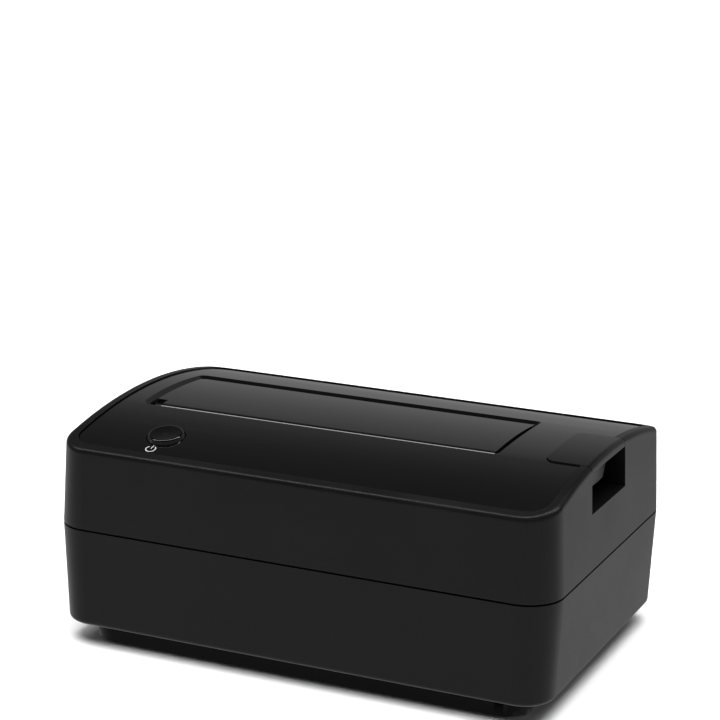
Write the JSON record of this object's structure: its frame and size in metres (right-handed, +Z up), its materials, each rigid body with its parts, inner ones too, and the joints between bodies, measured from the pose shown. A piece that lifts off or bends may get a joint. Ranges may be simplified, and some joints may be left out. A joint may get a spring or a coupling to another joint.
{
  "type": "hard drive docking station",
  "caption": "Top-loading desktop dock for a bare hard drive: crowned two-part housing, slot with a sprung dust door, round power button and a pivoted eject tab that lifts the drive.",
  "frame": {"origin": "centre of the footprint, on the plane that the feet stand on", "axes": "+X to the right along the front, towards the eject tab; +Y from the front to the back; +Z up"},
  "size_m": [0.15, 0.1, 0.0655],
  "materials": {
    "housing_plastic": "fine moulded texture, satin matte black",
    "gloss_plastic": "polished piano black",
    "inner_plastic": "plain moulded black",
    "steel": "plated wire and screw steel",
    "board": "green solder mask",
    "lamp": "clear lens",
    "contact_metal": "gold plated",
    "can_metal": "drawn can",
    "port_metal": "nickel plated",
    "port_plastic": "blue insulator",
    "foot_rubber": "matte rubber"
  },
  "bodies": {
    "housing": {"upper_housing": "housing_plastic", "lower_housing": "housing_plastic", "base_plinth": "housing_plastic", "top_panel": "gloss_plastic", "drive_well": "inner_plastic", "door_pin": "steel", "door_spring": "steel", "tact_switch": "inner_plastic", "switch_board": "board", "status_led": "lamp", "pivot_pin": "steel", "lever_spring": "steel", "main_board": "board", "sata_receptacle": "inner_plastic", "sata_contacts": "contact_metal", "bridge_chip": "inner_plastic", "board_capacitors": "can_metal", "power_inductor": "inner_plastic", "usb_port_shell": "port_metal", "usb_port_tongue": "port_plastic", "usb_contacts": "contact_metal", "dc_jack_body": "inner_plastic", "dc_jack_pin": "port_metal", "rubber_feet": "foot_rubber", "housing_screws": "steel", "board_screws": "steel", "well_screws": "steel", "switch_screws": "steel"},
    "door": {"dust_door": "gloss_plastic"},
    "button": {"power_button": "gloss_plastic", "switch_plunger": "inner_plastic"},
    "eject_lever": {"eject_tab": "housing_plastic", "lift_arm": "inner_plastic"}
  },
  "joints": [
    {"name": "dust_door_swing", "type": "hinge", "parent": "housing", "child": "door", "pos_m": [0, -0.0131, 0.0619], "axis": [-1, 0, 0], "range_deg": [0, 88], "stiffness_Nm_per_rad": 0.004, "springref_deg": -28.65, "deforming": ["door_spring"]},
    {"name": "power_button_press", "type": "slide", "parent": "housing", "child": "button", "axis": [0, 0.1985, -0.9801], "range_m": [0, 0.0006], "stiffness_N_per_m": 800},
    {"name": "eject_lever_press", "type": "hinge", "parent": "housing", "child": "eject_lever", "pos_m": [0.058, -0.0025, 0.0576], "axis": [0, 1, 0], "range_deg": [0, 17], "stiffness_Nm_per_rad": 0.05, "springref_deg": -17.19, "deforming": ["lever_spring"]}
  ]
}
